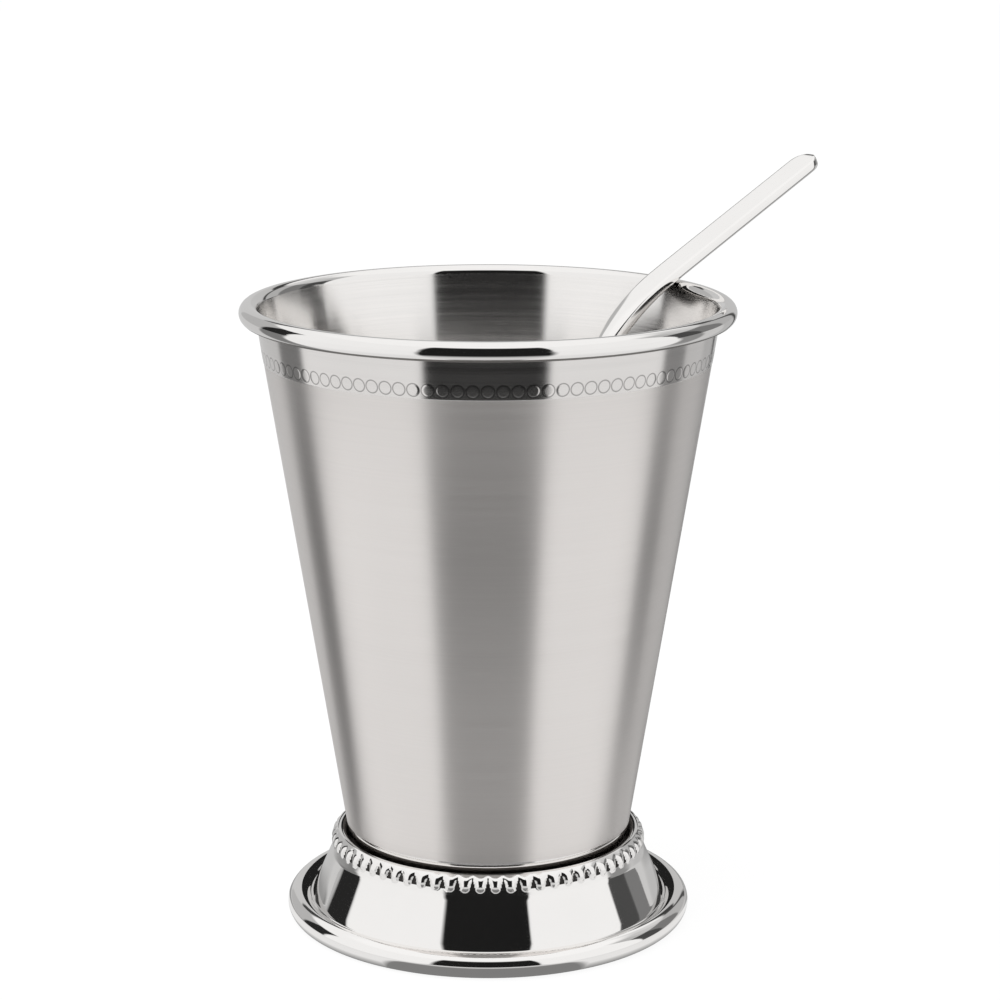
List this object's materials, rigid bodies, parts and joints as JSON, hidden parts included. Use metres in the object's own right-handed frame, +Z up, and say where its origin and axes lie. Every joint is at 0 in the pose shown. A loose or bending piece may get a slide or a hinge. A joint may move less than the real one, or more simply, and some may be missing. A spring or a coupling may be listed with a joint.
{
  "type": "julep cup",
  "caption": "Footed metal julep cup: tapered brushed body with a rolled rim and pearl band, mirror-polished beaded foot, and a slim bent spoon standing in it.",
  "frame": {"origin": "on the cup's axis, in the plane of the flat ring that the foot stands on", "axes": "+Z up along the cup's axis; the spoon's handle leans out between +X and +Y, 36 degrees from +X; the picture is taken from the -Y side"},
  "size_m": [0.1015, 0.0861, 0.1278],
  "materials": {
    "cup_steel": "satin brushed stainless steel, rim polished",
    "foot_steel": "mirror-polished stainless steel",
    "collar_steel": "polished stainless steel, pressed long beads",
    "solder": "dull tin solder",
    "spoon_steel": "polished stainless steel"
  },
  "bodies": {
    "cup": {"cup_body": "cup_steel", "foot": "foot_steel", "bead_collar": "collar_steel", "seat_solder": "solder"},
    "spoon": {"spoon": "spoon_steel"}
  },
  "joints": [
    {"name": "spoon_lift", "type": "slide", "parent": "cup", "child": "spoon", "axis": [0, 0, 1], "range_m": [0, 0.1]}
  ]
}
